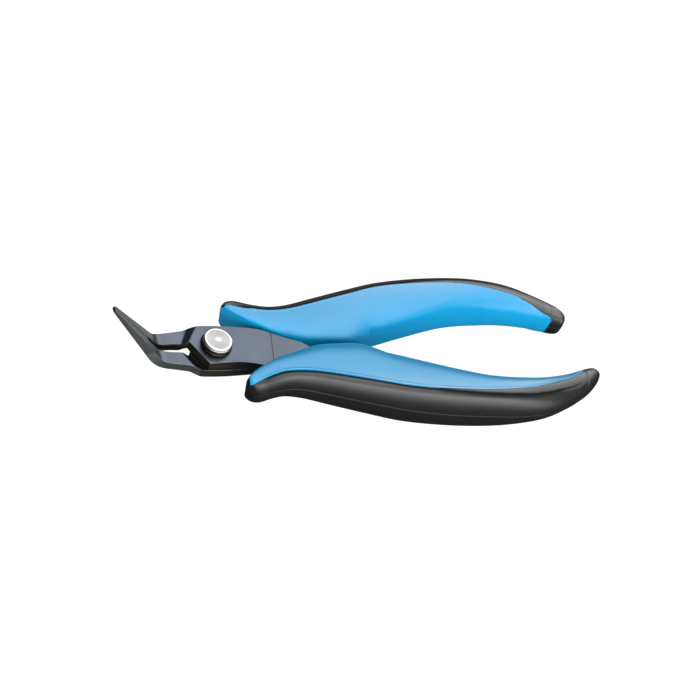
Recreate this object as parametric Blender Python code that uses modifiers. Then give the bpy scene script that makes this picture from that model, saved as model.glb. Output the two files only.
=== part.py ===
"""Bent-nose electronics pliers: two pressed steel arms crossing at one pivot screw, jaws bent up,
and two-colour moulded handles held apart by a coil spring.

All numbers are millimetres; MM turns them into metres. X runs from the pivot towards the handles,
Y to the right handle and Z up the pivot axis. The origin is the centre of the screw head's flat face,
so everything hangs from the empty "mid_plane", which lies on the face where the two arms meet.
"""

import math

import bmesh
import bpy
import numpy as np
from mathutils import Matrix, Vector

MM = 0.001

# Driving dimensions
PLATE = 2.75                # thickness of each steel arm
ARM_GAP = 0.05              # from the mid plane to each arm's sliding face
FIT = 0.15                  # clearance between pieces that are moulded or pressed together
PLATE_Z = ARM_GAP + PLATE / 2    # height of an arm's middle surface above or below the mid plane

BORE_RADIUS = 2.5
SHANK_RADIUS = 2.42
THREAD_RADIUS = 2.0
HEAD_RADIUS = 4.1
HEAD_FACE_RADIUS = 3.6
HEAD_TOP = 5.3              # height of the screw's flat face above the mid plane
WASHER_RADIUS = 4.35
WASHER_HEIGHT = 1.3
NUT_RADIUS = 3.9
NUT_BOTTOM = -4.75
SPANNER_HOLE_RADIUS = 0.55
SPANNER_HOLE_OFFSET = 2.95

BEND_VERTEX = -16.35        # X where the jaws' middle line turns upwards
BEND_ANGLE = math.radians(48)
BEND_RADIUS = 7.0
JAW_LENGTH = 23.6           # from the bend's vertex to the tip
JAW_THICKNESS = 2.55        # at the bend; the jaw thins evenly from the joggle to here
JAW_TAPER_START = 4.5       # along the bent jaw, where it begins to get thinner
JAW_TIP_THICKNESS = 0.8
JAW_CONTACT = 0.04          # half of the gap left between the closed gripping faces

# Half of each joggle line: X at the arm's outer edge, where y is JOGGLE_EDGE, and slope of X against y
JOGGLE_EDGE = 5.8
JOGGLE_HIGH = (-4.5, 0.63)
JOGGLE_LOW = (-7.0, 0.50)
JAW_LIFT = 0.1              # height of the jaws' middle surface above the mid plane

SPRING_X = 39.0
SPRING_RADIUS = 1.5         # to the middle of the wire
SPRING_WIRE = 0.3           # wire radius
SPRING_TURNS = 7
SPRING_END = 6.9            # Y of each end of the spring
POCKET_RADIUS = 2.4
POCKET_END = 7.2

HANDLE_RING = 28            # points around a handle's section
HANDLE_ROUNDNESS = 2.35     # exponent of the section's superellipse
HANDLE_PLATEAU = 0.985      # share of the section's height where its top is flat
HANDLE_TALLEST = 7.6        # half height along the middle, which makes one flat to lie on

# Plan of the right handle (x, y): its outline from the nose round the outer side to the tail and back
HANDLE_OUTER = [(5.3, 13.9), (6.3, 15.5), (8.3, 16.1), (11, 15.7), (14, 14.8), (18.5, 13.9), (24, 14.5),
                (32, 16.6), (42, 19.2), (52, 21.5), (64, 23.15), (76, 23.9), (86, 24.05), (95, 23.1), (103, 20.15),
                (109, 16.85), (112.4, 14.2), (114, 11.4)]
HANDLE_INNER = [(5.3, 13.9), (5.8, 13.0), (7.4, 11.7), (9.4, 10.0), (12.6, 7.8), (17, 5.2), (22, 3.1), (28, 1.4),
                (34, 1.0), (40, 1.1), (44, 2.5), (46.5, 3.9), (47.5, 4.7), (52, 5.6), (60, 7.9), (68, 10.2),
                (76, 12.3), (84, 13.2), (93, 13.1), (102, 11.7), (109, 9.6), (112.4, 9.2), (114, 11.4)]
HANDLE_HEIGHT = [(5.3, 4.7), (14, 5.1), (22, 5.6), (32, 6.4), (44, 7.1), (55, 7.6), (77, 7.6), (86, 7.0),
                 (96, 5.8), (104, 4.9), (114, 4.3)]
# Line where the inner core's colour meets the outer shell, on the right handle
CORE_EDGE = [(1.0, 14.6), (6.0, 14.2), (9, 13.4), (13, 12.1), (18, 11.2), (24, 11.6), (32, 13.4), (42, 15.9),
             (50, 17.9), (58, 19.0), (68, 19.7), (76, 19.8), (84, 19.2), (92, 17.8), (100, 15.1),
             (105, 12.8), (107.9, 10.5), (108.6, 5.0)]

# Plan of the top arm from above (x, y): jaw at +Y, tang at -Y. The jaw is drawn flat, along its middle line.
ARM_JAW_INNER = [(-11.5, 1.3), (-14.5, 1.05), (-17.2, 0.85), (-19.5, 0.75),
                 (-22.4, 0.6)]
ARM_JAW_OUTER = [(-20.4, 3.1), (-18.2, 3.75), (-15.6, 4.55), (-11.3, 5.2), (-8.2, 5.65), (-7.0, 6.0)]
ARM_OUTER = [(-5.6, 6.3), (0, 6.4), (5, 6.2), (13, 5.4), (17.4, 3.8), (21.4, 2.2), (25, 0.9), (28.5, -1.8),
             (33, -6.2), (38, -8.6), (46, -9.9), (56, -12.0), (66, -14.3), (72.5, -15.1)]
ARM_INNER = [(72.5, -17.0), (66, -16.8), (56, -15.9), (46, -14.0), (36, -11.7), (26, -9.9), (18, -8.8),
             (12.7, -6.8), (7.3, -5.75), (2, -5.85), (-3.0, -6.3)]
JAW_TIP_WIDTH = 0.95
JAW_NOTCH = 6.6             # along the bent jaw, where the gripping face begins
# End of the slot between the jaws, and where it meets the slanted end of the arm, on the top (+1) and
# the bottom (-1) arm
SLOT_END = {1: [(-7.1, 1.0), (-8.2, 1.15)], -1: [(-6.1, 1.5), (-7.4, 1.55)]}
CORNER = {1: (-7.0, 0.7), -1: (-6.2, -0.2)}


def clear_scene():
    """Start from an empty file without closing it."""
    for item in list(bpy.data.objects):
        bpy.data.objects.remove(item, do_unlink=True)


def make_collection(name):
    """Add a collection to the scene."""
    collection = bpy.data.collections.new(name)
    bpy.context.scene.collection.children.link(collection)
    return collection


def material(name, colour, metallic, roughness):
    """A plain Principled material."""
    mat = bpy.data.materials.new(name)
    mat.use_nodes = True
    shader = mat.node_tree.nodes["Principled BSDF"]
    shader.inputs["Base Color"].default_value = (*colour, 1.0)
    shader.inputs["Metallic"].default_value = metallic
    shader.inputs["Roughness"].default_value = roughness
    return mat


def smooth_path(points, steps):
    """Points along a Catmull-Rom curve through the given points."""
    path = [np.array(p, float) for p in points]
    path = [2 * path[0] - path[1]] + path + [2 * path[-1] - path[-2]]
    out = []
    for a, b, c, d in zip(path, path[1:], path[2:], path[3:]):
        for i in range(steps):
            t = i / steps
            out.append(0.5 * (2 * b + (c - a) * t + (2 * a - 5 * b + 4 * c - d) * t ** 2
                              + (3 * b - a - 3 * c + d) * t ** 3))
    out.append(path[-2])
    return [tuple(p) for p in out]


def link(name, mesh, collection, parent, mat=None):
    """Put a mesh in the scene as a named object under a parent."""
    obj = bpy.data.objects.new(name, mesh)
    collection.objects.link(obj)
    obj.parent = parent
    if mat is not None:
        mesh.materials.clear()
        mesh.materials.append(mat)
    return obj


def outline_mesh(name, points, bottom, top):
    """A flat outline extruded from bottom to top, as a closed mesh."""
    curve = bpy.data.curves.new(name, "CURVE")
    curve.dimensions = "2D"
    curve.fill_mode = "BOTH"
    curve.extrude = (top - bottom) / 2 * MM
    spline = curve.splines.new("POLY")
    spline.points.add(len(points) - 1)
    for point, (x, y) in zip(spline.points, points):
        point.co = (x * MM, y * MM, 0, 1)
    spline.use_cyclic_u = True
    guide = bpy.data.objects.new(name, curve)
    bpy.context.scene.collection.objects.link(guide)
    bpy.context.view_layer.update()
    mesh = bpy.data.meshes.new_from_object(guide.evaluated_get(bpy.context.evaluated_depsgraph_get()))
    bpy.data.objects.remove(guide, do_unlink=True)
    bm = bmesh.new()
    bm.from_mesh(mesh)
    bmesh.ops.remove_doubles(bm, verts=bm.verts, dist=1e-6)
    bmesh.ops.translate(bm, verts=bm.verts, vec=(0, 0, (top + bottom) / 2 * MM))
    bmesh.ops.recalc_face_normals(bm, faces=bm.faces)
    bm.to_mesh(mesh)
    bm.free()
    return mesh


def hide_cutter(obj):
    """Mark an object as a cutter."""
    obj.hide_render = True
    obj.display_type = "WIRE"
    return obj


def cylinder_cutter(name, radius, low, high, cutters, parent, at=(0, 0), axis="Z", segments=32):
    """A round cutter along Z or Y from low to high."""
    mesh = bpy.data.meshes.new(name)
    bm = bmesh.new()
    bmesh.ops.create_cone(bm, cap_ends=True, segments=segments, radius1=radius * MM, radius2=radius * MM,
                          depth=(high - low) * MM)
    bm.to_mesh(mesh)
    bm.free()
    obj = hide_cutter(link(name, mesh, cutters, parent))
    middle = (low + high) / 2 * MM
    if axis == "Z":
        obj.location = (at[0] * MM, at[1] * MM, middle)
    else:
        obj.rotation_euler = (math.pi / 2, 0, 0)
        obj.location = (at[0] * MM, middle, at[1] * MM)
    return obj


def cut(obj, cutter, operation="DIFFERENCE"):
    """Add a Boolean modifier."""
    modifier = obj.modifiers.new(cutter.name, "BOOLEAN")
    modifier.solver = "EXACT"
    modifier.operation = operation
    modifier.object = cutter


def turned(name, profile, collection, parent, mat, steps=40):
    """A body turned about Z from an (r, z) profile that runs down its outer side."""
    mesh = bpy.data.meshes.new(name)
    edges = [(i, i + 1) for i in range(len(profile) - 1)]
    if profile[0] == profile[-1]:
        profile = profile[:-1]
        edges[-1] = (len(profile) - 1, 0)
    mesh.from_pydata([(r * MM, 0, z * MM) for r, z in profile], edges, [])
    obj = link(name, mesh, collection, parent, mat)
    screw = obj.modifiers.new("turn", "SCREW")
    screw.steps = screw.render_steps = steps
    screw.use_merge_vertices = True
    screw.merge_threshold = 1e-6
    screw.use_smooth_shade = False
    return obj


# ---------------------------------------------------------------- steel arms


def arm_outline(side):
    """An arm's flat blank, with its jaw laid out straight."""
    tip = BEND_VERTEX - JAW_LENGTH
    notch = BEND_VERTEX - JAW_NOTCH
    jaw_inner = smooth_path(SLOT_END[side] + ARM_JAW_INNER, 3)
    grip = [(notch, JAW_CONTACT), (tip + 0.3, JAW_CONTACT), (tip, 0.35), (tip + 0.1, 0.7),
            (tip + 0.5, JAW_TIP_WIDTH)]
    outer = smooth_path(ARM_JAW_OUTER + ARM_OUTER, 3)
    inner = smooth_path(ARM_INNER, 3)
    return [CORNER[side]] + jaw_inner + grip + outer + inner


def joggle_x(line, y):
    """X of a joggle line at a distance y from the middle. The tang's side never reaches the lines."""
    edge, slope = line
    return edge - (JOGGLE_EDGE - max(y, 0)) * slope


def formed(x, y, w, side):
    """Where a point of the blank goes when the arm is pressed: joggled to the middle, then bent up.

    x, y are the blank's plan, w the height above its middle surface, side is +1 for the top arm.
    """
    high, low = joggle_x(JOGGLE_HIGH, y), joggle_x(JOGGLE_LOW, y)
    share = min(max((x - low) / (high - low), 0), 1)
    level = side * PLATE_Z * share + JAW_LIFT * (1 - share)
    w *= 1 + (JAW_THICKNESS / PLATE - 1) * min(max((-8 - x) / 6, 0), 1)
    tangent = BEND_RADIUS * math.tan(BEND_ANGLE / 2)
    arc = BEND_RADIUS * BEND_ANGLE
    along = BEND_VERTEX + tangent - x
    if along <= 0:
        return x, level + w
    along_jaw = along - arc + tangent
    if along_jaw > JAW_TAPER_START:
        share = (along_jaw - JAW_TAPER_START) / (JAW_LENGTH - JAW_TAPER_START)
        w *= 1 + (JAW_TIP_THICKNESS / JAW_THICKNESS - 1) * min(share, 1)
    angle = min(along / BEND_RADIUS, BEND_ANGLE)
    centre = (BEND_VERTEX + tangent, BEND_RADIUS)
    straight = max(along - arc, 0)
    radius = BEND_RADIUS - w
    bent_x = centre[0] - radius * math.sin(angle) - straight * math.cos(angle)
    bent_z = centre[1] - radius * math.cos(angle) + straight * math.sin(angle)
    return bent_x, bent_z


def make_arm(name, side, collection, cutters, parent, mat):
    """Press one arm from its blank and bore it for the pivot. side +1 is the top arm."""
    tangent = BEND_RADIUS * math.tan(BEND_ANGLE / 2)
    arc = BEND_RADIUS * BEND_ANGLE
    # the blank keeps its tip at BEND_VERTEX - JAW_LENGTH, so the bend takes up a little length
    start = BEND_VERTEX + tangent
    mesh = outline_mesh(name, arm_outline(side), -PLATE / 2, PLATE / 2)
    bm = bmesh.new()
    bm.from_mesh(mesh)

    def slice_at(point, normal):
        bmesh.ops.bisect_plane(bm, geom=bm.verts[:] + bm.edges[:] + bm.faces[:], dist=1e-7,
                               plane_co=Vector(point) * MM, plane_no=normal)

    for line in (JOGGLE_HIGH, JOGGLE_LOW):
        slice_at((joggle_x(line, JOGGLE_EDGE), JOGGLE_EDGE, 0), (1, -line[1], 0))
    bend_slices = 4
    for i in range(bend_slices + 1):
        slice_at((start - arc * i / bend_slices, 0, 0), (1, 0, 0))
    for x in (start - arc + tangent - JAW_TAPER_START, -8):
        slice_at((x, 0, 0), (1, 0, 0))
    bmesh.ops.triangulate(bm, faces=bm.faces)
    for vert in bm.verts:
        x, y, w = vert.co / MM
        fx, fz = formed(x, y, w, side)
        vert.co = Vector((fx, y, fz)) * MM
    if side < 0:
        # the bottom arm is the same pressing with its plan mirrored
        for vert in bm.verts:
            vert.co.y = -vert.co.y
        bmesh.ops.reverse_faces(bm, faces=bm.faces)
    bm.to_mesh(mesh)
    bm.free()
    arm = link(name, mesh, collection, parent, mat)
    cut(arm, cylinder_cutter(name + "_bore", BORE_RADIUS, -8, 8, cutters, parent, segments=40))
    return arm


# ---------------------------------------------------------------- pivot


def make_pivot(collection, cutters, parent, steel, dark):
    """The headed screw, the collar under its head and the round nut behind."""
    plate_top = ARM_GAP + PLATE
    washer_low = plate_top + 0.05
    head_low = washer_low + WASHER_HEIGHT + 0.05
    nut_top = -plate_top - 0.05
    turned("pivot_screw", [(0, HEAD_TOP), (HEAD_FACE_RADIUS, HEAD_TOP), (HEAD_RADIUS, HEAD_TOP - 0.3),
                           (HEAD_RADIUS, head_low), (SHANK_RADIUS, head_low), (SHANK_RADIUS, nut_top + 0.08),
                           (THREAD_RADIUS, nut_top + 0.08), (THREAD_RADIUS, NUT_BOTTOM + 0.3),
                           (THREAD_RADIUS - 0.3, NUT_BOTTOM), (0, NUT_BOTTOM)], collection, parent, steel)
    turned("head_washer", [(BORE_RADIUS + 0.1, washer_low + WASHER_HEIGHT),
                           (WASHER_RADIUS - 0.15, washer_low + WASHER_HEIGHT),
                           (WASHER_RADIUS, washer_low + WASHER_HEIGHT - 0.15), (WASHER_RADIUS, washer_low),
                           (BORE_RADIUS + 0.1, washer_low), (BORE_RADIUS + 0.1, washer_low + WASHER_HEIGHT)],
           collection, parent, dark)
    nut_bore = THREAD_RADIUS + 0.08
    nut = turned("pivot_nut", [(nut_bore, nut_top), (NUT_RADIUS, nut_top), (NUT_RADIUS, NUT_BOTTOM + 0.3),
                               (NUT_RADIUS - 0.3, NUT_BOTTOM), (nut_bore, NUT_BOTTOM), (nut_bore, nut_top)],
                 collection, parent, steel)
    for sign in (-1, 1):
        cut(nut, cylinder_cutter(f"spanner_hole_{sign + 1}", SPANNER_HOLE_RADIUS, NUT_BOTTOM - 1,
                                 NUT_BOTTOM + 0.9, cutters, parent, at=(0, sign * SPANNER_HOLE_OFFSET),
                                 segments=14))


# ---------------------------------------------------------------- handles


def handle_edges():
    """Functions of x for the handle's inner edge, outer edge and half height."""
    tables = [np.array(smooth_path(line, 5)) for line in (HANDLE_INNER, HANDLE_OUTER, HANDLE_HEIGHT)]

    def value(table, x):
        order = np.argsort(table[:, 0], kind="stable")
        return float(np.interp(x, table[order, 0], table[order, 1]))
    return [lambda x, t=table: value(t, x) for table in tables]


def handle_stations():
    """X of each section: close together at the rounded nose and tail, and at the step in the lobe."""
    nose, tail = HANDLE_OUTER[0][0], HANDLE_OUTER[-1][0]
    ends = [0.12, 0.5, 1.2, 2.4, 4.2]
    middle = [14, 18, 22, 26, 30, 35, 40, 43.5, 46.8, 47.8, 52, 56, 61, 66, 71, 76, 81, 86, 91, 96, 101, 105]
    return [nose + d for d in ends] + middle + [tail - d for d in reversed(ends)]


def end_rounding(x):
    """Share of the full height near the nose and the tail, which are rounded in side view."""
    nose, tail = HANDLE_OUTER[0][0], HANDLE_OUTER[-1][0]
    reach = 4.5
    near = max(0.0, 1 - (min(x - nose, tail - x)) / reach)
    return (1 - near ** 2.6) ** (1 / 2.6) * 0.6 + 0.4 if near > 0 else 1.0


def section(x, inner, outer, height):
    """One closed section of the handle, a superellipse with a flat top and bottom."""
    low, high = inner(x), outer(x)
    tall = min(height(x), HANDLE_TALLEST) * end_rounding(x)
    middle, half = (low + high) / 2, (high - low) / 2
    ring = []
    for i in range(HANDLE_RING):
        angle = 2 * math.pi * (i + 0.5) / HANDLE_RING
        c, s = math.cos(angle), math.sin(angle)
        y = middle + half * math.copysign(abs(c) ** (2 / HANDLE_ROUNDNESS), c)
        z = tall * math.copysign(abs(s) ** (2 / HANDLE_ROUNDNESS), s)
        z = min(max(z, -tall * HANDLE_PLATEAU), tall * HANDLE_PLATEAU)
        ring.append((x * MM, y * MM, z * MM))
    return ring


def handle_mesh(name):
    """The whole handle, core and shell together, as one loft of sections."""
    inner, outer, height = handle_edges()
    rings = [section(x, inner, outer, height) for x in handle_stations()]
    bm = bmesh.new()
    rows = [[bm.verts.new(p) for p in ring] for ring in rings]
    for a, b in zip(rows, rows[1:]):
        for i in range(HANDLE_RING):
            j = (i + 1) % HANDLE_RING
            bm.faces.new((a[i], a[j], b[j], b[i]))
    bm.faces.new(rows[0])
    bm.faces.new(list(reversed(rows[-1])))
    bmesh.ops.recalc_face_normals(bm, faces=bm.faces)
    mesh = bpy.data.meshes.new(name)
    bm.to_mesh(mesh)
    bm.free()
    return mesh


def core_zone(grow):
    """Plan outline of the space that the core fills, moved outwards by grow."""
    edge = smooth_path(CORE_EDGE, 3)
    moved = []
    for i, (x, y) in enumerate(edge):
        ax, ay = edge[max(i - 1, 0)]
        bx, by = edge[min(i + 1, len(edge) - 1)]
        length = math.hypot(bx - ax, by - ay)
        moved.append((x - (by - ay) / length * grow, y + (bx - ax) / length * grow))
    return moved + [(moved[-1][0], -3.0), (1.0, -3.0)]


def tang_slot():
    """Plan outline of the slot for the steel tang, a little larger than the tang, in the handle's own frame."""
    far = [(x, -y) for x, y in smooth_path(ARM_OUTER[5:], 3)]
    near = [(x, -y) for x, y in smooth_path(ARM_INNER[:8], 3)]
    far = [(x, y - FIT) for x, y in far]
    near = [(x, y + FIT) for x, y in near]
    end = ARM_OUTER[-1][0] + FIT
    far[-1] = (end, far[-1][1])
    near[0] = (end, near[0][1])
    return far + near + [(8, 5.0), (8, -4.0), (21, -4.0)]


def make_handle(side, collection, cutters, parent, blue, black):
    """Core and shell of one handle. side is "right" (+Y, on the bottom arm) or "left"."""
    frame = bpy.data.objects.new(side + "_handle", None)
    collection.objects.link(frame)
    frame.parent = parent
    if side == "right":
        frame.location = (0, 0, -PLATE_Z * MM)
    else:
        frame.location = (0, 0, PLATE_Z * MM)
        frame.rotation_euler = (math.pi, 0, 0)
    core = link(side + "_core", handle_mesh(side + "_core"), collection, frame, blue)
    shell = link(side + "_shell", handle_mesh(side + "_shell"), collection, frame, black)
    tall = 12
    zone = hide_cutter(link(side + "_core_zone", outline_mesh("zone", core_zone(0), -tall, tall), cutters, frame))
    room = hide_cutter(link(side + "_core_room", outline_mesh("room", core_zone(FIT), -tall, tall), cutters,
                            frame))
    slot = hide_cutter(link(side + "_tang_slot", outline_mesh("slot", tang_slot(), -PLATE / 2 - FIT,
                                                              PLATE / 2 + FIT), cutters, frame))
    pocket = cylinder_cutter(side + "_spring_pocket", POCKET_RADIUS, -2, POCKET_END, cutters, frame,
                             at=(SPRING_X, PLATE_Z), axis="Y", segments=24)
    cut(core, zone, "INTERSECT")
    cut(core, slot)
    cut(core, pocket)
    cut(shell, room)
    return frame


def make_spring(collection, parent, mat):
    """The coil spring between the two handles, along Y, with its end turns closed."""
    curve = bpy.data.curves.new("return_spring", "CURVE")
    curve.dimensions = "3D"
    curve.bevel_depth = SPRING_WIRE * MM
    curve.bevel_resolution = 2
    curve.use_fill_caps = True
    per_turn = 12
    count = SPRING_TURNS * per_turn
    reach = SPRING_END - SPRING_WIRE
    spline = curve.splines.new("POLY")
    spline.points.add(count)
    for i, point in enumerate(spline.points):
        share = i / count
        eased = share + 0.055 * math.sin(2 * math.pi * share) / math.pi * -1
        angle = 2 * math.pi * SPRING_TURNS * share
        point.co = (SPRING_RADIUS * math.cos(angle) * MM, (2 * eased - 1) * reach * MM,
                    SPRING_RADIUS * math.sin(angle) * MM, 1)
    obj = bpy.data.objects.new("return_spring", curve)
    collection.objects.link(obj)
    obj.parent = parent
    obj.location = (SPRING_X * MM, 0, 0)
    curve.materials.append(mat)
    return obj


def main():
    clear_scene()
    parts = make_collection("bent_nose_pliers")
    cutters = make_collection("cutters")
    frame = bpy.data.objects.new("mid_plane", None)
    parts.objects.link(frame)
    frame.location = (0, 0, -HEAD_TOP * MM)

    steel = material("burnished_steel", (0.16, 0.17, 0.22), 1.0, 0.38)
    bright = material("nickel_steel", (0.78, 0.77, 0.72), 1.0, 0.22)
    dark = material("dark_steel", (0.07, 0.065, 0.055), 1.0, 0.35)
    blue = material("blue_plastic", (0.13, 0.48, 0.80), 0.0, 0.45)
    black = material("black_rubber", (0.02, 0.021, 0.022), 0.0, 0.5)

    opening = bpy.data.objects.new("pivot_axis", None)
    parts.objects.link(opening)
    opening.parent = frame

    make_arm("bottom_arm", -1, parts, cutters, frame, steel)
    make_arm("top_arm", 1, parts, cutters, opening, steel)
    make_pivot(parts, cutters, frame, bright, dark)
    make_handle("right", parts, cutters, frame, blue, black)
    make_handle("left", parts, cutters, opening, blue, black)
    make_spring(parts, frame, bright)


main()
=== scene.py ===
"""Looks for the bent-nose electronics pliers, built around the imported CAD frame.

Lengths in the tables are millimetres in the part's frame: X runs from the pivot to the handles, Y to the
right handle, Z up the pivot. Z values are counted from the mid plane, where the two arms meet.
"""

import math

import bmesh
import bpy
import numpy as np
from mathutils import Matrix, Vector


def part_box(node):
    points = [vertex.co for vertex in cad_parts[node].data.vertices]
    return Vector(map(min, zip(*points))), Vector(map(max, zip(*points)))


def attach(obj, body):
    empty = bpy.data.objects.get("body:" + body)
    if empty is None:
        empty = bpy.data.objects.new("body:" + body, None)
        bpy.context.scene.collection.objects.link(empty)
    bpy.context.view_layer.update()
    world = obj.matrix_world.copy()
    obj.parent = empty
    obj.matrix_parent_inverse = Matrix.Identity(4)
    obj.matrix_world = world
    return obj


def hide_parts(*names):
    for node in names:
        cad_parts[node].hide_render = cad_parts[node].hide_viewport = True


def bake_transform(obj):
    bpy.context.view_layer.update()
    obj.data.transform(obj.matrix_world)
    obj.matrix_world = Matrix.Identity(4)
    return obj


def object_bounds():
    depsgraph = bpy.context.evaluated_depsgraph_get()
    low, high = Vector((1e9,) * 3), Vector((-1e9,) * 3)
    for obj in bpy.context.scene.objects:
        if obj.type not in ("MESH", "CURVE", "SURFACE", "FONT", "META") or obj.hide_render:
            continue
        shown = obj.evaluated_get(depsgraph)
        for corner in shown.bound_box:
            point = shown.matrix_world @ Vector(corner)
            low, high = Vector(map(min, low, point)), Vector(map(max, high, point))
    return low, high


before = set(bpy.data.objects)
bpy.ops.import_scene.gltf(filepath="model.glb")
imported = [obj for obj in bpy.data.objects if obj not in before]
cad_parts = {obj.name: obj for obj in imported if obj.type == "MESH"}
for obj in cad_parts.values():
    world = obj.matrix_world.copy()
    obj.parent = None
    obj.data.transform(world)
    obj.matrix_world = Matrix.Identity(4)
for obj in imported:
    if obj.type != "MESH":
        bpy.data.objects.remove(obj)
CAD_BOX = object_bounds()

MM = 0.001
NUT_DEPTH = 4.75                    # from the mid plane down to the nut's underside
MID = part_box("pivot_nut")[0][2] / MM + NUT_DEPTH           # height of the mid plane
LOWER, UPPER = "lower_half", "upper_half"
PLATE = 2.75                        # thickness of each arm
ARM_GAP = 0.05                      # between the mid plane and each arm
PLATE_Z = ARM_GAP + PLATE / 2       # from the mid plane to the middle of each arm


# ---------------------------------------------------------------- helpers


def smooth_path(points, steps):
    """Points along a Catmull-Rom curve through the given points."""
    path = [np.array(p, float) for p in points]
    path = [2 * path[0] - path[1]] + path + [2 * path[-1] - path[-2]]
    out = []
    for a, b, c, d in zip(path, path[1:], path[2:], path[3:]):
        for i in range(steps):
            t = i / steps
            out.append(0.5 * (2 * b + (c - a) * t + (2 * a - 5 * b + 4 * c - d) * t ** 2
                              + (3 * b - a - 3 * c + d) * t ** 3))
    out.append(path[-2])
    return np.array(out)


def table(points):
    """A function of x read from a smooth curve through (x, value) points."""
    curve = smooth_path(points, 12)
    curve = curve[np.argsort(curve[:, 0], kind="stable")]
    return lambda x: np.interp(x, curve[:, 0], curve[:, 1])


def clamp(value):
    """The value, kept between 0 and 1."""
    return min(max(value, 0), 1)


def new_object(name, data):
    """A new object in the scene."""
    obj = bpy.data.objects.new(name, data)
    bpy.context.scene.collection.objects.link(obj)
    return obj


def finish_mesh(name, bm):
    """A new mesh from a bmesh, which is freed."""
    mesh = bpy.data.meshes.new(name)
    bm.to_mesh(mesh)
    bm.free()
    return mesh


def loft(bm, rows):
    """Faces between closed rows of vertices, and over the first and the last row."""
    count = len(rows[0])
    for a, b in zip(rows, rows[1:]):
        for i in range(count):
            j = (i + 1) % count
            bm.faces.new((a[i], a[j], b[j], b[i]))
    bm.faces.new(rows[0])
    bm.faces.new(list(reversed(rows[-1])))


def cut_out(obj, cutter):
    """Take one object's shape out of another."""
    cut = obj.modifiers.new(cutter.name, "BOOLEAN")
    cut.object = cutter
    cut.solver = "EXACT"


def add_piece(name, mesh, mat, body, nodes, smooth=True, sharp=None):
    """Put a finished mesh in the scene in place of the CAD nodes, which are hidden, and attach it to its body;
    with no mat, the mesh keeps the materials it has.
    """
    obj = new_object(name, mesh)
    if mat is not None:
        mesh.materials.clear()
        mesh.materials.append(mat)
    if smooth:
        mesh.shade_smooth()
        if sharp is not None:
            mesh.set_sharp_from_angle(angle=math.radians(sharp))
    if body is not None:
        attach(obj, body)
    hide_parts(*nodes)
    return obj


def apply_modifiers(obj):
    """Replace an object's mesh by its evaluated mesh."""
    bpy.context.view_layer.update()
    graph = bpy.context.evaluated_depsgraph_get()
    mesh = bpy.data.meshes.new_from_object(obj.evaluated_get(graph))
    obj.modifiers.clear()
    obj.data = mesh
    return mesh


# ---------------------------------------------------------------- materials


class Nodes:
    """Short calls for building a node tree."""

    def __init__(self, name):
        self.mat = bpy.data.materials.new(name)
        self.mat.use_nodes = True
        self.tree = self.mat.node_tree
        self.shader = self.tree.nodes["Principled BSDF"]

    def new(self, kind, **settings):
        node = self.tree.nodes.new(kind)
        for key, value in settings.items():
            setattr(node, key, value)
        return node

    def link(self, a, b):
        self.tree.links.new(a, b)

    def position(self):
        """Object coordinates in metres."""
        return self.new("ShaderNodeTexCoord").outputs["Object"]

    def attribute(self, name):
        """A value stored at the mesh's vertices."""
        return self.new("ShaderNodeAttribute", attribute_name=name).outputs["Fac"]

    def noise(self, scale, detail, roughness=0.5, stretch=None):
        """Noise over the object, finer along an axis with a larger stretch."""
        vector = self.position()
        if stretch is not None:
            mapping = self.new("ShaderNodeMapping")
            mapping.inputs["Scale"].default_value = stretch
            self.link(vector, mapping.inputs["Vector"])
            vector = mapping.outputs["Vector"]
        node = self.new("ShaderNodeTexNoise")
        node.inputs["Scale"].default_value = scale
        node.inputs["Detail"].default_value = detail
        node.inputs["Roughness"].default_value = roughness
        self.link(vector, node.inputs["Vector"])
        return node.outputs["Fac"]

    def ramp(self, fac, stops):
        """Colours between (place, colour) stops."""
        node = self.new("ShaderNodeValToRGB")
        elements = node.color_ramp.elements
        while len(elements) < len(stops):
            elements.new(0.5)
        for element, (place, colour) in zip(elements, stops):
            element.position = place
            element.color = (*colour, 1.0)
        self.link(fac, node.inputs["Fac"])
        return node.outputs["Color"]

    def spread(self, fac, low, high, start=0.0, end=1.0):
        """Values from low to high, where fac goes from start to end."""
        node = self.new("ShaderNodeMapRange")
        for key, value in (("From Min", start), ("From Max", end), ("To Min", low), ("To Max", high)):
            node.inputs[key].default_value = value
        self.link(fac, node.inputs["Value"])
        return node.outputs["Result"]

    def bump(self, height, strength, distance):
        node = self.new("ShaderNodeBump")
        node.inputs["Strength"].default_value = strength
        node.inputs["Distance"].default_value = distance
        self.link(height, node.inputs["Height"])
        return node.outputs["Normal"]

    def drive(self, **sockets):
        """Link values to the shader's inputs, named with _ for a space."""
        for key, value in sockets.items():
            self.link(value, self.shader.inputs[key.replace("_", " ")])


def blue_material():
    """Blue plastic, paler beside the shell where the painted-highlight attribute is high, and more matt where
    "matt" is.
    """
    n = Nodes("blue_plastic")
    base = n.ramp(n.noise(180, 3), [(0.3, (0.0, 0.188, 0.375)), (0.7, (0.001, 0.198, 0.39))])
    mix = n.new("ShaderNodeMix", data_type="RGBA")
    n.link(n.attribute("painted_rim_highlight"), mix.inputs["Factor"])
    # inputs 6 and 7 and output 2 are this node's colours
    n.link(base, mix.inputs[6])
    # the paler blue: a painted highlight along the edge beside the shell
    mix.inputs[7].default_value = (0.075, 0.235, 0.40, 1.0)
    n.drive(Base_Color=mix.outputs[2], Roughness=n.spread(n.noise(900, 3), 0.32, 0.44),
            Normal=n.bump(n.noise(2600, 3), 0.15, 0.00006),
            Specular_IOR_Level=n.spread(n.attribute("matt"), 0.58, 0.08))
    return n.mat


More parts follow.
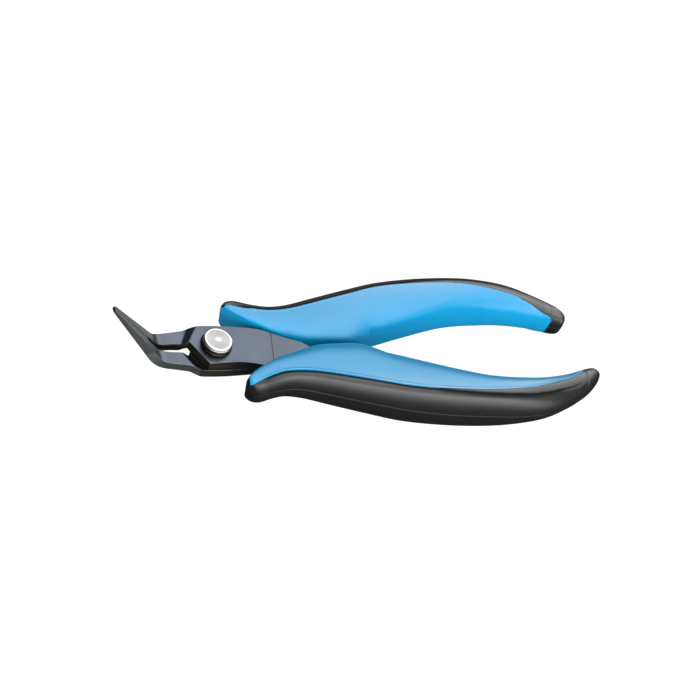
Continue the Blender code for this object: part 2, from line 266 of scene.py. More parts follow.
def black_material():
    """Black rubber, more matt where "matt" is high."""
    n = Nodes("black_rubber")
    base = n.ramp(n.noise(250, 3), [(0.3, (0.0009, 0.0012, 0.0013)), (0.7, (0.0013, 0.0016, 0.0017))])
    n.drive(Base_Color=base, Roughness=n.spread(n.noise(700, 3), 0.36, 0.46),
            Normal=n.bump(n.noise(3000, 3), 0.2, 0.00008),
            Specular_IOR_Level=n.spread(n.attribute("matt"), 0.75, 0.06))
    return n.mat


def arm_material(name, colour, rough):
    """Steel with a grain along the arm."""
    n = Nodes(name)
    grain = n.noise(900, 4, 0.6, stretch=(0.25, 1.6, 1.6))
    low, high = (tuple(k * c for c in colour) for k in (0.9, 1.1))
    n.drive(Base_Color=n.ramp(n.noise(120, 3), [(0.3, low), (0.7, high)]),
            Roughness=n.spread(grain, *rough), Normal=n.bump(grain, 0.12, 0.00005))
    n.shader.inputs["Metallic"].default_value = 1.0
    return n.mat


def bright_material(name="bright_steel", colour=(0.225, 0.225, 0.225), rough=(0.24, 0.36), rings=()):
    """Turned steel; rings are bands around the axis, as (radius in metres, tone) stops."""
    n = Nodes(name)
    grain = n.noise(1500, 4, 0.6)
    if rings:
        flat = n.new("ShaderNodeVectorMath", operation="MULTIPLY")
        n.link(n.position(), flat.inputs[0])
        flat.inputs[1].default_value = (1, 1, 0)
        radius = n.new("ShaderNodeVectorMath", operation="LENGTH")
        n.link(flat.outputs["Vector"], radius.inputs[0])
        reach = 0.005
        fac = n.spread(radius.outputs["Value"], 0, 1, 0, reach)
        tones = [(r / reach, tuple(tone * c for c in colour)) for r, tone in rings]
    else:
        fac, tones = n.noise(300, 2), [(0.3, tuple(0.93 * c for c in colour)), (0.7, colour)]
    n.drive(Base_Color=n.ramp(fac, tones),
            Roughness=n.spread(grain, *rough), Normal=n.bump(grain, 0.08, 0.00004))
    n.shader.inputs["Metallic"].default_value = 1.0
    return n.mat


BLUE = blue_material()
BLACK = black_material()
ARM = arm_material("arm_face", (0.055, 0.063, 0.078), (0.27, 0.37))
ARM_SIDE = arm_material("arm_jaw_side", (0.115, 0.13, 0.12), (0.5, 0.6))
ARM_CUT = arm_material("arm_sheared_edge", (0.075, 0.068, 0.045), (0.45, 0.6))
# the eased edges get a much paler steel than the faces: a painted highlight along each edge
ARM_EDGE_HIGHLIGHT = arm_material("arm_edge_painted_highlight", (0.28, 0.30, 0.34), (0.3, 0.4))
ARM_MATERIALS = (ARM, ARM_SIDE, ARM_CUT, ARM_EDGE_HIGHLIGHT)
BRIGHT = bright_material()
# very dark steel for the collar under the screw's head: partly the collar's own tone, partly painted shade
# under the head
DARK_COLLAR_AND_SHADE = bright_material("dark_collar_painted_shade", (0.05, 0.048, 0.036), (0.3, 0.42))
# the head's tone by radius: the brightest bands, at the centre and from 3.3 mm outwards, are painted
# highlights; the darker bands between are the tone of its turning marks
HEAD_MARKS_AND_HIGHLIGHTS = bright_material("turned_head_painted_highlights", rings=[
    (0.0, 1.3), (0.0008, 1.3), (0.0011, 0.85), (0.0016, 0.95), (0.0019, 0.8), (0.0024, 0.92), (0.0029, 0.85),
    (0.0031, 0.85), (0.0033, 1.5), (0.0038, 1.5)])
WIRE = bright_material("spring_wire", (0.5, 0.5, 0.49), (0.22, 0.3))


# ---------------------------------------------------------------- handles

# Both handles are made from this plan of the right one. The left one is turned half round about X, so that the
# half of each section that is called upper here is its underside. Sections run from the nose to the tail.
NOSE_X, NOSE_Y = 5.5, 13.5
TAIL_X, TAIL_Y = 113.8, 11.4
# from here each tail is drawn out by its own amount
TAIL_START = 96.0
TAIL_STRETCH = {"right": -1.6, "left": 0.4}
OUTER = table([(NOSE_X, NOSE_Y), (5.85, 14.4), (6.5, 15.2), (7.6, 15.85), (9.0, 16.1), (11, 15.8), (14, 14.8),
               (18.5, 13.9), (24, 14.5), (32, 16.6), (42, 19.2), (52, 21.5), (64, 23.15), (76, 23.9),
               (86, 24.05), (95, 23.1), (103, 20.15), (109, 16.85), (112.2, 14.4), (113.5, 12.8),
               (TAIL_X, TAIL_Y)])
INNER = table([(NOSE_X, NOSE_Y), (6.0, 12.9), (7.4, 11.7), (9.4, 10.1), (12.6, 8.0), (17, 5.5), (22, 3.3),
               (28, 1.5), (34, 1.1), (40, 1.2), (44, 2.6), (47, 4.1), (52, 5.4), (60, 7.8), (68, 10.2),
               (76, 12.3), (84, 13.3), (93, 13.25), (102, 11.8), (109, 9.7), (112.0, 9.0), (113.3, 9.7),
               (TAIL_X, TAIL_Y)])
# behind the spring's lobe, which ends in a step, a flat wall cuts this far into the inner side
STEP_X, STEP_LENGTH = 46.7, 0.12
WALL_DEPTH = table([(40, 1.3), (48, 1.3), (56, 1.0), (66, 0.6), (80, 0.1), (90, 0.0), (100, 0.0)])
# beside the nose the inner side is one upright wall, which fades out towards its end
NOSE_WALL_END, NOSE_WALL_FADE, NOSE_WALL_DEPTH = 21, 11, 1.7
# how softly the walls meet the curve over them, and how that grows along the handle behind the step
WALL_SOFT, WALL_SOFT_GROWTH = 0.25, 0.06
# y of the highest point of each section
CREST = table([(NOSE_X, NOSE_Y), (9, 13.4), (13, 12.1), (18, 11.2), (24, 11.6), (32, 13.4), (42, 15.9),
               (50, 17.9), (58, 19.0), (68, 19.7), (76, 19.8), (84, 19.2), (92, 17.9), (100, 15.6),
               (107, 13.2), (TAIL_X, TAIL_Y)])
# y where the core meets the shell, and how that edge shifts: beside each nose, beside the nose on the side
# that the stage hides, and near each tail as a place along x, an amount and a reach
COLOUR_EDGE = table([(NOSE_X, NOSE_Y), (7.2, 14.2), (9, 13.6), (13, 12.1), (18, 11.2), (24, 11.6), (32, 13.4),
                     (42, 15.9), (50, 17.9), (58, 19.0), (68, 19.7), (76, 19.8), (84, 19.2), (92, 17.7),
                     (100, 15.0), (104.6, 12.9), (106.7, 12.0), (108.0, 11.0), (108.5, 9.5), (108.8, 8.0),
                     (TAIL_X, 7.0)])
NOSE_EDGE = {"right": -0.8, "left": 0.8}
NOSE_EDGE_HIDDEN = -0.8
NOSE_EDGE_END, NOSE_EDGE_FADE, NOSE_EDGE_RISE = 16, 7, 0.6
TAIL_EDGE = {"right": (107.5, -0.75, 4.2), "left": (104.0, 0.55, 4.0)}
# the left shell wraps around the whole nose, and both shells around the tails
CORE_START = {"right": 0.0, "left": 6.15}
CORE_END = {"right": 108.2, "left": 108.7}
EDGE_GAP = 0.06                     # between the core and the shell
# half the height of each section, and the lengths over which the ends round it off in side view
HEIGHT = table([(NOSE_X, 4.8), (14, 5.1), (22, 5.6), (32, 6.4), (44, 7.1), (56, 7.6), (76, 7.6), (86, 7.0),
                (96, 5.8), (104, 4.9), (TAIL_X, 4.3)])
NOSE_ROUND, TAIL_ROUND, ROUND_POWER = 3.2, 4.5, 2.4
# how far the top of each nose reaches ahead, for each unit of height, and how that fades out
NOSE_LEAN, NOSE_LEAN_END, NOSE_LEAN_FADE = 0.22, 20, 12
# how square the outer and the inner side of a section are (2 is an ellipse); the top of the right handle is
# squarer, but also slopes: it loses this share of its height at the inner side
OUTER_POWER = 2.4
INNER_POWER = table([(5, 2.4), (11, 3.4), (20, 4.0), (42, 4.0), (54, 3.4), (70, 3.3), (96, 3.0), (115, 2.5)])
SLOPED_POWER = table([(5, 2.4), (11, 3.4), (20, 4.0), (42, 4.0), (54, 3.8), (70, 4.2), (84, 5.0), (104, 5.0),
                      (110, 3.5), (115, 2.5)])
SLOPE = table([(5, 0.0), (28, 0.0), (38, 0.1), (46, 0.25), (53, 0.34), (71, 0.34), (80, 0.45), (88, 0.55),
               (102, 0.55), (109, 0.2), (112, 0.0), (115, 0.0)])
# the core has a low lip beside the joint (height, place, width) and a narrow dip at it (depth, width)
CORE_LIP, CORE_DIP = (0.10, 0.30, 0.28), (0.12, 0.07)
# how much paler the core is painted beside the shell, a painted highlight along the joint, and how far it
# reaches
PAINTED_RIM_HIGHLIGHT = {"right": table([(30, 0.0), (44, 0.35), (58, 0.75), (70, 0.8), (84, 0.3), (92, 0.0), (115, 0.0)]),
       "left": table([(28, 0.0), (36, 0.25), (48, 0.9), (70, 1.0), (92, 0.9), (104, 0.3), (115, 0.0)])}
PAINTED_RIM_HIGHLIGHT_REACH = 2.6
# the core is matt where its surface faces inwards by more than this, and fully so a little past it
MATT_FROM, MATT_OVER = 0.72, 0.2
# the shell's flat shelf beside the core, the groove after it, its dip at the joint and its parting line
SHELF = table([(5, -0.4), (50, -0.3), (62, 0.25), (74, 0.9), (86, 1.8), (96, 2.6), (106, 3.0), (115, 3.0)])
GROOVE_DEPTH, GROOVE_WIDTH, GROOVE_EDGE = 0.6, 1.35, 0.05
SHELL_DIP, PARTING_LINE = (0.10, 0.12), (0.06, 0.08)


def end_share(x):
    """Share of the full height: the nose and the tail are rounded in side view."""
    near_nose = np.clip(1 - (x - NOSE_X) / NOSE_ROUND, 0, 1)
    near_tail = np.clip(1 - (TAIL_X - x) / TAIL_ROUND, 0, 1)
    near = np.maximum(near_nose, near_tail)
    return 0.5 + 0.5 * (1 - near ** ROUND_POWER) ** (1 / ROUND_POWER)


def nose_lean(x):
    """Shift to the front for each unit of height near the nose."""
    return NOSE_LEAN * clamp((NOSE_LEAN_END - x) / NOSE_LEAN_FADE)


def section_curve(x, sloped):
    """(y, z) along the top half of the section at x, from the inner wall over the crest to the outer side."""
    phi = np.linspace(0, math.pi, 360)
    inner, outer, crest = INNER(x), OUTER(x), CREST(x)
    crest = min(max(crest, inner + 1e-3), outer - 1e-3)
    tall = HEIGHT(x) * end_share(x)
    c, s = np.cos(phi), np.sin(phi)
    inside = phi <= math.pi / 2
    inner_power = (SLOPED_POWER if sloped else INNER_POWER)(x)
    y = np.where(inside, crest - (crest - inner) * np.abs(c) ** (2 / inner_power),
                 crest + (outer - crest) * np.abs(c) ** (2 / OUTER_POWER))
    z = tall * np.where(inside, s ** (2 / inner_power), s ** (2 / OUTER_POWER))
    depth = WALL_DEPTH(x) / (1 + math.exp(-(x - STEP_X) / STEP_LENGTH)) if x > STEP_X - 4 else 0.0
    if x < NOSE_WALL_END:
        # the curve is moved out first, so that the wall cuts it at a crisp upper edge
        depth = NOSE_WALL_DEPTH * clamp((NOSE_WALL_END - x) / NOSE_WALL_FADE)
        y = y - depth * np.where(inside, np.abs(c) ** (2 / inner_power), 0)
        inner -= depth
    if depth > 0.01:
        soft = WALL_SOFT + WALL_SOFT_GROWTH * max(x - STEP_X, 0)
        over = y - (inner + depth)
        y = inner + depth + 0.5 * (over + np.sqrt(over ** 2 + soft ** 2 * (depth / (depth + 0.3))))
    if sloped:
        z = z * (1 - SLOPE(x) * np.clip((crest - y) / (crest - inner), 0, 1) ** 1.3)
    return np.stack([y, z], 1)


def along(curve, places):
    """Points and outward normals at arc lengths along a polyline."""
    step = np.linalg.norm(np.diff(curve, axis=0), axis=1)
    arc = np.concatenate([[0], np.cumsum(step)])
    point = np.stack([np.interp(places, arc, curve[:, i]) for i in (0, 1)], 1)
    slope = np.gradient(curve, axis=0)
    slope /= np.linalg.norm(slope, axis=1)[:, None] + 1e-12
    tangent = np.stack([np.interp(places, arc, slope[:, i]) for i in (0, 1)], 1)
    return point, np.stack([-tangent[:, 1], tangent[:, 0]], 1)


# distances of a section's points from the colour edge, and from the middle height
NEAR = np.concatenate([[0, 0.04, 0.08, 0.13, 0.19], np.arange(0.26, 3.6, 0.12), [3.75, 3.95, 4.2, 4.5]])
MIDDLE = np.array([1.0, 0.6, 0.35, 0.2, 0.1, 0.05, 0.0])


def half_places(length):
    """Arc lengths from the colour edge (0) to the middle height (length), close together at both."""
    scale = min(1.0, length / 8.0)
    rest = np.linspace(NEAR[-1] * scale, length - MIDDLE[0] * scale, 22)[1:-1]
    return np.concatenate([NEAR * scale, rest, length - MIDDLE * scale])


def bell(places, width):
    """A smooth rise to 1 at place 0."""
    return np.exp(-(places / width) ** 2)


def half_ring(x, part, side, sloped, seen):
    """Half of a section of the core or the shell at x: rows of y, z, how matt it is and how much painted
    highlight it has.

    The half is the one above the middle. It may slope, and it is seen or hidden in the pose of the stage.
    """
    curve = section_curve(x, sloped)
    place, amount, reach = TAIL_EDGE[side]
    edge = COLOUR_EDGE(x) + amount * math.exp(-((x - place) / reach) ** 2)
    shift = NOSE_EDGE[side] if seen else NOSE_EDGE_HIDDEN
    edge += shift * clamp((NOSE_EDGE_END - x) / NOSE_EDGE_FADE) * min((x - NOSE_X) / NOSE_EDGE_RISE, 1)
    if x < CORE_START[side]:
        edge = curve[0, 0]
    index = int(np.searchsorted(curve[:, 0] + 1e-9 * np.arange(len(curve)), edge))
    index = min(max(index, 1), len(curve) - 2)
    if part == "core":
        piece = curve[:index + 1][::-1]
    else:
        piece = curve[index:]
    arc = np.linalg.norm(np.diff(piece, axis=0), axis=1).sum()
    places = half_places(arc)
    point, normal = along(piece, places)
    if part == "core":
        normal = -normal
        height, middle, width = CORE_LIP
        depth, dip_width = CORE_DIP
        lip = height * bell(places - middle, width) - depth * bell(places, dip_width)
        gap = -EDGE_GAP / 2
        matt = np.clip((-normal[:, 0] - MATT_FROM) / MATT_OVER, 0, 1)
        # the painted highlight beside the shell, fading away from it
        painted_rim_highlight = PAINTED_RIM_HIGHLIGHT[side](x) * bell(places, PAINTED_RIM_HIGHLIGHT_REACH)
    else:
        past = places - SHELF(x)
        # the shell's details fade out towards the nose and the tail, and its groove where the shell is narrow
        ends = clamp((x - NOSE_X - 1) / 5) * clamp((106.5 - x) / 9)
        depth, width = SHELL_DIP
        lip = -depth * ends * bell(places, width)
        groove = GROOVE_DEPTH * ends * np.clip(1 - past / GROOVE_WIDTH, 0, 1) ** 1.1
        lip -= groove / (1 + np.exp(-past / GROOVE_EDGE)) * min(arc / 7.0, 1)
        height, width = PARTING_LINE
        lip += height * ends * bell(arc - places, width)
        gap = EDGE_GAP / 2
        # the groove is matt, from a little before its edge to a little past its end
        matt = ends / (1 + np.exp(-(past + 0.02) / 0.06)) / (1 + np.exp((past - 1.45) / 0.12))
        painted_rim_highlight = np.zeros(len(places))
    fade = min(1.0, arc / 3.0)
    point = point + normal * (lip * fade)[:, None]
    point[0, 0] += gap * fade
    return np.column_stack([point, matt, painted_rim_highlight])


def ring(x, part, side):
    """One closed section of the core or the shell at x, as rows of y, z, how matt it is and how much painted
    highlight it has.
    """
    upper = half_ring(x, part, side, sloped=side == "right", seen=side == "right")
    lower = half_ring(x, part, side, sloped=False, seen=side == "left")[::-1][1:] * (1, -1, 1, 1)
    # the hidden wall between the halves, under the colour edge
    wall = [[upper[0, 0] + (lower[-1, 0] - upper[0, 0]) * (1 - k) / 2, upper[0, 1] * k, 0, 0]
            for k in (-0.66, -0.33, 0, 0.33, 0.66)]
    return np.concatenate([upper, lower, wall])


def stations():
    """X of each section, close together at the rounded ends and at the lobe's step."""
    ends = [0.008, 0.03, 0.07, 0.13, 0.21, 0.32, 0.46, 0.64, 0.86, 1.12, 1.42, 1.76, 2.15, 2.6, 3.1, 3.7, 4.4]
    step = STEP_X + np.array([-2, -1.2, -0.7, -0.45, -0.3, -0.2, -0.1, 0, 0.1, 0.2, 0.3, 0.45, 0.7, 1.2, 2])
    edge = np.arange(99, 109.3, 0.3)
    body = np.concatenate([np.arange(NOSE_X + 5.2, step[0] - 0.4, 1.0), step,
                           np.arange(step[-1] + 1, 98.8, 1.25), edge])
    return np.concatenate([[NOSE_X + e for e in ends], body, [TAIL_X - e for e in reversed(ends)]])


def handle_piece(side, part):
    """Core or shell of one handle as a closed loft of sections."""
    places = stations()
    if part == "core":
        places = places[(places < CORE_END[side]) & (places >= CORE_START[side])]
    rows = []
    # the left handle is the right one turned half round about X
    flip = 1 if side == "right" else -1
    centre = MID - flip * PLATE_Z
    for x in places:
        section = ring(x, part, side)
        shifted = x + TAIL_STRETCH[side] * clamp((x - TAIL_START) / (TAIL_X - TAIL_START)) ** 2
        lean = nose_lean(x) * flip
        rows.append([((shifted - lean * z) * MM, y * flip * MM, (z * flip + centre) * MM, *tones)
                     for y, z, *tones in section])
    bm = bmesh.new()
    layers = [bm.verts.layers.float.new(name) for name in ("matt", "painted_rim_highlight")]
    verts = []
    for row in rows:
        verts.append([bm.verts.new(p[:3]) for p in row])
        for vert, p in zip(verts[-1], row):
            for layer, tone in zip(layers, p[3:]):
                vert[layer] = tone
    loft(bm, verts)
    bmesh.ops.remove_doubles(bm, verts=bm.verts, dist=2e-7)
    bmesh.ops.recalc_face_normals(bm, faces=bm.faces)
    mesh = finish_mesh(f"{side}_{part}_fine", bm)
    body = LOWER if side == "right" else UPPER
    mat, slot = (BLUE, "blue_plastic") if part == "core" else (BLACK, "black_rubber")
    add_piece(f"{side}_{part}_fine", mesh, mat, body, [f"{side}_{part}"], sharp=50)


for side in ("right", "left"):
    for part in ("core", "shell"):
        handle_piece(side, part)


# ---------------------------------------------------------------- arms

# The joggle runs between two slanted lines over the plate, each given by its x at the outer edge and its slope.
JOGGLE_EDGE = 5.8
JOGGLE_HIGH = (-4.5, 0.63)
JOGGLE_LOW = (-7.0, 0.50)
JOGGLE_SOFT = 0.16
JAW_LIFT = 0.1                      # of the jaws' middle above the mid plane
BEND_VERTEX, BEND_RADIUS, BEND_ANGLE = -16.35, 7.0, math.radians(48)
BEND_TANGENT = BEND_RADIUS * math.tan(BEND_ANGLE / 2)
BEND_ARC = BEND_RADIUS * BEND_ANGLE
BEND_START = BEND_VERTEX + BEND_TANGENT
JAW_LENGTH, TAPER_START, TIP_THICKNESS = 23.6, 4.5, 0.8
# the jaw thins evenly to this at the bend
JAW_THICKNESS, THINNING_START, THINNING_END = 2.55, -8, -14
NOTCH = BEND_VERTEX - 6.6           # where the gripping faces begin
# The outline of each arm, in parts that follow each other; the key is 1 for the top arm and -1 for the bottom
# arm. The slot's corner is where it meets the back edge.
CORNER = {1: (-7.0, 0.7), -1: (-6.2, -0.2)}
SLOT_END = {1: [(-7.1, 1.0), (-8.2, 1.15)], -1: [(-6.25, 0.5), (-6.8, 1.0), (-7.5, 1.4)]}
JAW_INNER = [(-11.5, 1.3), (-14.5, 1.05), (-17.2, 0.85), (-19.5, 0.75), (-22.4, 0.6)]
JAW_OUTER = [(-20.4, 3.1), (-18.2, 3.75), (-15.6, 4.55), (-11.3, 5.2), (-8.2, 5.65), (-7.0, 6.0)]
ARM_OUTER = [(-5.6, 6.3), (0, 6.4), (5, 6.2), (13, 5.4), (17.4, 3.8), (21.4, 2.2), (25, 0.9), (28.5, -1.8),
             (33, -6.2), (38, -8.6), (46, -9.9), (56, -12.0), (66, -14.3), (72.5, -15.1)]
ARM_INNER = [(72.5, -17.0), (66, -16.8), (56, -15.9), (46, -14.0), (36, -11.7), (26, -9.9), (18, -8.8),
             (12.7, -6.8), (7.3, -5.75), (2, -5.85), (-3.0, -6.3)]
# the fine line across the top arm, from one edge to the other; its cutter is sunk in by half its height
LINE_START, LINE_END = Vector((16.7, 3.9)), Vector((15.3, -6.2))
LINE_WIDTH, LINE_CUTTER = 0.26, 0.5
BORE_RADIUS = 2.5
EDGE_WIDTH = 0.2                    # of the eased edges


def arm_outline(side):
    """An arm's flat blank, with its jaw laid out straight."""
    tip = BEND_VERTEX - JAW_LENGTH
    inner = smooth_path(SLOT_END[side] + JAW_INNER, 6)
    grip = [(NOTCH, 0.45), (NOTCH - 0.15, 0.17), (tip + 6, 0.08), (tip + 0.3, 0.04), (tip + 0.05, 0.2),
            (tip, 0.4), (tip + 0.08, 0.65), (tip + 0.3, 0.85), (tip + 0.7, 0.98)]
    outer = smooth_path(JAW_OUTER + ARM_OUTER, 6)
    back = smooth_path(ARM_INNER, 6)
    return [CORNER[side], *map(tuple, inner), *grip, *map(tuple, outer), *map(tuple, back)]


def joggle_x(line, y):
    """X of one of the joggle's lines at y."""
    edge, slope = line
    return edge - (JOGGLE_EDGE - max(y, 0)) * slope


def formed(x, y, w, side):
    """Where a point of the blank goes when it is joggled to the middle and then bent up."""
    high, low = joggle_x(JOGGLE_HIGH, y), joggle_x(JOGGLE_LOW, y)
    share = (x - low) / (high - low)
    before, after = (math.sqrt(s ** 2 + JOGGLE_SOFT ** 2) for s in (share, share - 1))
    share = clamp(0.5 * (before - after + 1))
    level = side * PLATE_Z * share + JAW_LIFT * (1 - share)
    w *= 1 + (JAW_THICKNESS / PLATE - 1) * clamp((THINNING_START - x) / (THINNING_START - THINNING_END))
    past = BEND_START - x
    if past <= 0:
        return x, level + w
    along_jaw = past - BEND_ARC + BEND_TANGENT
    if along_jaw > TAPER_START:
        taper = min((along_jaw - TAPER_START) / (JAW_LENGTH - TAPER_START), 1)
        w *= 1 + (TIP_THICKNESS / JAW_THICKNESS - 1) * taper
    angle = min(past / BEND_RADIUS, BEND_ANGLE)
    straight = max(past - BEND_ARC, 0)
    radius = BEND_RADIUS - w
    return (BEND_START - radius * math.sin(angle) - straight * math.cos(angle),
            level + BEND_RADIUS - radius * math.cos(angle) + straight * math.sin(angle))


def pressed_arm(name, side):
    """The mesh of one arm, thickened from its blank and formed, with its sides given their materials."""
    bm = bmesh.new()
    base = [bm.verts.new((x, y, -PLATE / 2)) for x, y in arm_outline(side)]
    face = bm.faces.new(base)
    lifted = bmesh.ops.extrude_face_region(bm, geom=[face])
    bmesh.ops.translate(bm, verts=[v for v in lifted["geom"] if isinstance(v, bmesh.types.BMVert)],
                        vec=(0, 0, PLATE))
    bmesh.ops.recalc_face_normals(bm, faces=bm.faces)
    for face in bm.faces:
        middle = face.calc_center_median()
        if abs(face.normal.z) < 0.5:
            # the jaw's outer side is ground, up to the tip; all the other sides are sheared
            ground = middle.x < -4.5 and middle.y > 0.9 and face.normal.y > 0.3
            ground = ground and middle.x > BEND_VERTEX - JAW_LENGTH + 0.4
            face.material_index = ARM_MATERIALS.index(ARM_SIDE if ground else ARM_CUT)

    def slice_at(point, normal):
        bmesh.ops.bisect_plane(bm, geom=bm.verts[:] + bm.edges[:] + bm.faces[:], dist=1e-5,
                               plane_co=point, plane_no=normal)

    # vertices are needed wherever the plate is formed
    for edge, slope in (JOGGLE_HIGH, JOGGLE_LOW):
        for shift in (-0.6, -0.3, 0, 0.3, 0.6):
            slice_at((edge + shift, JOGGLE_EDGE, 0), (1, -slope, 0))
    for i in range(13):
        slice_at((BEND_START - BEND_ARC * i / 12, 0, 0), (1, 0, 0))
    for x in (BEND_START - BEND_ARC + BEND_TANGENT - TAPER_START, THINNING_START, THINNING_END):
        slice_at((x, 0, 0), (1, 0, 0))
    for vert in bm.verts:
        x, y, w = vert.co
        fx, fz = formed(x, y, w, side)
        vert.co = (fx * MM, y * side * MM, (fz + MID) * MM)
    if side < 0:
        bmesh.ops.reverse_faces(bm, faces=bm.faces)
    mesh = finish_mesh(name, bm)
    mesh.shade_smooth()
    return mesh


def cylinder_cutter(name, radius, depth, segments, place=(0, 0, 0)):
    """A cutter for a round hole along Z."""
    bm = bmesh.new()
    bmesh.ops.create_cone(bm, cap_ends=True, segments=segments, radius1=radius * MM, radius2=radius * MM,
                          depth=depth * MM, matrix=Matrix.Translation(place))
    return new_object(name, finish_mesh(name, bm))


def line_cutter():
    """A cutter for the fine line across the top arm."""
    a, b = LINE_START, LINE_END
    bm = bmesh.new()
    bmesh.ops.create_cube(bm, size=1.0, matrix=Matrix.Translation(
        ((a.x + b.x) / 2 * MM, (a.y + b.y) / 2 * MM, (MID + ARM_GAP + PLATE) * MM))
        @ Matrix.Rotation(math.atan2(b.y - a.y, b.x - a.x), 4, "Z")
        @ Matrix.Diagonal(((a - b).length * MM, LINE_WIDTH * MM, LINE_CUTTER * MM, 1)))
    return new_object("line", finish_mesh("line", bm))


def arm_piece(name, side, body):
    """One arm, bored and with its edges eased."""
    obj = new_object(name, pressed_arm(name, side))
    cutters = [cylinder_cutter(name + "_bore", BORE_RADIUS, 20, 64)]
    if side > 0:
        cutters.append(line_cutter())
    for cutter in cutters:
        cut_out(obj, cutter)
    bevel = obj.modifiers.new("edges", "BEVEL")
    bevel.width = EDGE_WIDTH * MM
    bevel.segments = 3
    bevel.limit_method = "ANGLE"
    bevel.angle_limit = math.radians(55)
    # the bevel's faces take the paler steel, the painted edge highlight
    bevel.material = ARM_MATERIALS.index(ARM_EDGE_HIGHLIGHT)
    obj.modifiers.new("normals", "WEIGHTED_NORMAL").weight = 100
    for mat in ARM_MATERIALS:
        obj.data.materials.append(mat)
    mesh = apply_modifiers(obj)
    for item in [obj, *cutters]:
        bpy.data.objects.remove(item)
    add_piece(name + "_fine", mesh, None, body, [name], smooth=False)


arm_piece("bottom_arm", -1, LOWER)
arm_piece("top_arm", 1, UPPER)


# ---------------------------------------------------------------- pivot


HEAD_TOP = 5.3                      # the top of the screw's head
SPANNER_RADIUS, SPANNER_Y = 0.55, 2.95      # the two spanner holes in the nut


def turned_mesh(name, profile):
    """A closed body turned about Z from an (r, z) loop; points at r 0 are merged."""
    bm = bmesh.new()
    verts = [bm.verts.new((r * MM, 0, (z + MID) * MM)) for r, z in profile]
    edges = [bm.edges.new((a, b)) for a, b in zip(verts, verts[1:])]
    bmesh.ops.spin(bm, geom=verts + edges, cent=(0, 0, 0), axis=(0, 0, 1), angle=2 * math.pi, steps=96,
                   use_merge=True)
    bmesh.ops.remove_doubles(bm, verts=bm.verts, dist=1e-6)
    bmesh.ops.recalc_face_normals(bm, faces=bm.faces)
    return finish_mesh(name, bm)


def pivot_pieces():
    """The screw with turning marks on its head, the stepped collar, and the nut."""
    screw = [(0.0, HEAD_TOP)]
    for r in np.arange(0.35, 3.4, 0.4):
        screw += [(r - 0.07, HEAD_TOP), (r, HEAD_TOP - 0.02), (r + 0.07, HEAD_TOP)]
    screw += [(3.6, HEAD_TOP), (3.8, HEAD_TOP - 0.05), (3.95, HEAD_TOP - 0.18), (3.95, 4.92), (3.85, 4.84),
              (3.85, 4.78), (4.0, 4.72), (4.1, 4.62), (4.1, 4.3), (4.04, 4.2), (2.42, 4.2),
              (2.42, -2.77), (2.0, -2.77), (2.0, -4.5), (1.75, -NUT_DEPTH), (0, -NUT_DEPTH)]
    add_piece("pivot_screw_fine", turned_mesh("pivot_screw_fine", screw), HEAD_MARKS_AND_HIGHLIGHTS, LOWER,
              ["pivot_screw"], sharp=30)
    low, high = 2.85, 4.15
    collar = [(2.6, high), (4.05, high), (4.15, high - 0.1), (4.15, high - 0.5), (4.3, high - 0.62),
              (4.35, high - 0.75), (4.35, low + 0.08), (4.27, low), (2.6, low), (2.6, high)]
    add_piece("head_washer_fine", turned_mesh("head_washer_fine", collar), DARK_COLLAR_AND_SHADE, LOWER,
              ["head_washer"], sharp=30)
    nut = [(2.08, -2.85), (3.8, -2.85), (3.9, -2.95), (3.9, -4.45), (3.82, -4.62), (3.6, -NUT_DEPTH),
           (2.3, -NUT_DEPTH), (2.08, -4.6), (2.08, -2.85)]
    obj = new_object("nut", turned_mesh("pivot_nut_fine", nut))
    cutters = [cylinder_cutter("hole", SPANNER_RADIUS, 2, 32, (0, sign * SPANNER_Y * MM, (MID - 4.85) * MM))
               for sign in (-1, 1)]
    for cutter in cutters:
        cut_out(obj, cutter)
    mesh = apply_modifiers(obj)
    for item in [obj, *cutters]:
        bpy.data.objects.remove(item)
    add_piece("pivot_nut_fine", mesh, BRIGHT, LOWER, ["pivot_nut"], sharp=30)


pivot_pieces()


# ---------------------------------------------------------------- spring


COIL_RADIUS, WIRE_RADIUS, COIL_TURNS = 1.5, 0.3, 7
COIL_X, COIL_REACH = 39, 6.6        # the coil's axis, and how far it goes to each side


def spring_piece():
    """The coil spring along Y between the lobes, with its end turns closed."""
    sides, per_turn = 10, 30
    count = COIL_TURNS * per_turn + 1
    share = np.linspace(0, 1, count)
    eased = share - 0.055 * np.sin(2 * math.pi * share) / math.pi
    angle = 2 * math.pi * COIL_TURNS * share
    path = np.stack([COIL_X + COIL_RADIUS * np.cos(angle), (2 * eased - 1) * COIL_REACH,
                     MID + COIL_RADIUS * np.sin(angle)], 1)
    bm = bmesh.new()
    rows = []
    for i in range(count):
        tangent = Vector(path[min(i + 1, count - 1)] - path[max(i - 1, 0)]).normalized()
        out = Vector((math.cos(angle[i]), 0, math.sin(angle[i])))
        side = tangent.cross(out).normalized()
        row = []
        for k in range(sides):
            t = 2 * math.pi * k / sides
            p = Vector(path[i]) + (out * math.cos(t) + side * math.sin(t)) * WIRE_RADIUS
            row.append(bm.verts.new(p * MM))
        rows.append(row)
    loft(bm, rows)
    bmesh.ops.recalc_face_normals(bm, faces=bm.faces)
    mesh = finish_mesh("return_spring_fine", bm)
    obj = add_piece("return_spring_fine", mesh, WIRE, None, ["return_spring"])
    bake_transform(obj)


spring_piece()


# ---------------------------------------------------------------- stage, lights, camera


# The camera: its axes (made square to each other below), and its place from the pivot's middle along them.
LENS, SENSOR = 107.1, 36
CAMERA_RIGHT, CAMERA_BACK = Vector((0.9067, -0.2564, 0.3349)), Vector((-0.4217, -0.5489, 0.7217))
CAMERA_PLACE = (36.58, 0.35, 555.56)


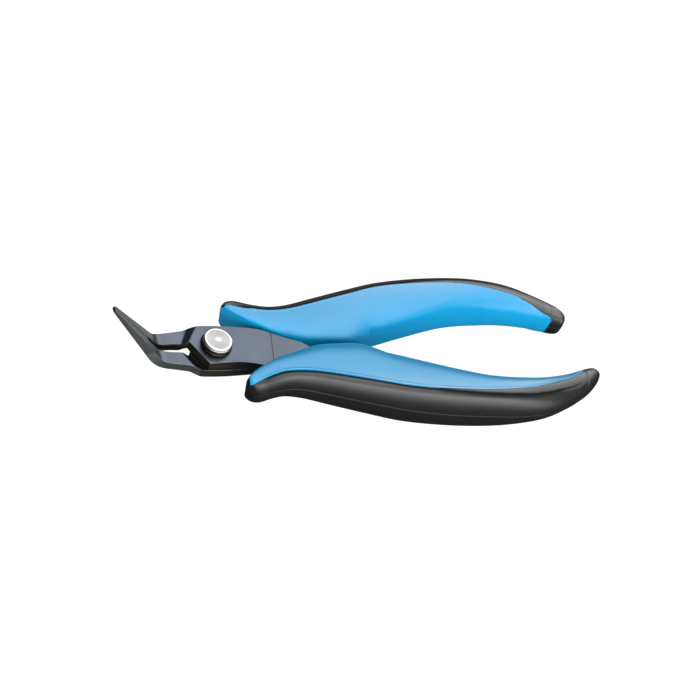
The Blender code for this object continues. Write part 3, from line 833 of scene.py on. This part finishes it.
def area_light(name, location, target, size, radiance, glossy=True, diffuse=True):
    """A rectangular softbox of the given radiance, which can be kept out of reflections or of diffuse light."""
    light = bpy.data.lights.new(name, "AREA")
    light.shape = "RECTANGLE"
    light.size, light.size_y = size
    light.energy = radiance * math.pi * size[0] * size[1]
    obj = new_object(name, light)
    obj.location = location
    obj.rotation_euler = (Vector(target) - Vector(location)).to_track_quat("-Z", "Y").to_euler()
    obj.visible_glossy = glossy
    obj.visible_diffuse = diffuse
    obj.visible_camera = False


def studio():
    """The floor, the world and the lights."""
    scene = bpy.context.scene
    mesh = bpy.data.meshes.new("floor")
    s = 3.0
    z = CAD_BOX[0][2] - 0.0002
    mesh.from_pydata([(-s, -s, z), (s, -s, z), (s, s, z), (-s, s, z)], [], [(0, 1, 2, 3)])
    floor = new_object("floor", mesh)
    n = Nodes("pale_floor")
    n.drive(Base_Color=n.ramp(n.noise(3, 2), [(0.3, (0.15, 0.15, 0.15)), (0.7, (0.16, 0.16, 0.16))]))
    n.shader.inputs["Roughness"].default_value = 0.9
    n.shader.inputs["Specular IOR Level"].default_value = 0.1
    n.shader.inputs["Emission Color"].default_value = (1, 1, 1, 1)
    n.shader.inputs["Emission Strength"].default_value = 0.98
    mesh.materials.append(n.mat)
    # the floor stays out of reflections, so that the low cards below it can be seen in them
    floor.visible_glossy = False
    floor.visible_shadow = False

    world = bpy.data.worlds.new("studio")
    scene.world = world
    world.use_nodes = True
    background = world.node_tree.nodes["Background"]
    background.inputs["Color"].default_value = (1, 1, 1, 1)
    background.inputs["Strength"].default_value = 0.06

    area_light("overhead_tent", (0.25, 0.15, 0.62), (0.25, 0.15, 0.0), (1.0, 1.3), 3.9, diffuse=False)
    area_light("overhead_fill", (0.25, 0.15, 0.62), (0.25, 0.15, 0.0), (1.0, 1.3), 4.0, glossy=False)
    area_light("front_card", (0.35, -0.85, 0.27), (0.35, 0.0, 0.27), (1.3, 0.40), 5.0, diffuse=False)
    area_light("front_low_card", (0.35, -0.85, -0.10), (0.35, 0.0, -0.10), (1.3, 0.34), 2.3, diffuse=False)
    area_light("front_fill", (0.0, -0.75, 0.42), (0.05, 0.0, 0.0), (1.0, 0.5), 9.5, glossy=False)
    area_light("jaw_card", (0.50, 0.46, -0.36), (-0.02, 0.0, 0.0), (0.5, 0.5), 0.8, diffuse=False)
    area_light("bend_strip", (0.62, 0.47, 0.34), (0.0, 0.0, 0.0), (0.2, 0.4), 5.0, diffuse=False)

    scene.view_settings.view_transform = "Standard"


def add_camera():
    """The photograph's camera."""
    camera = bpy.data.cameras.new("camera")
    camera.lens = LENS
    camera.sensor_width = SENSOR
    camera.clip_start = 0.01
    obj = new_object("camera", camera)
    back = CAMERA_BACK.normalized()
    right = (CAMERA_RIGHT - back * CAMERA_RIGHT.dot(back)).normalized()
    up = back.cross(right)
    across, above, away = CAMERA_PLACE
    location = (right * across + up * above + back * away + Vector((0, 0, MID))) * MM
    obj.matrix_world = Matrix.Translation(location) @ Matrix((right, up, back)).transposed().to_4x4()
    bpy.context.scene.camera = obj


studio()
add_camera()
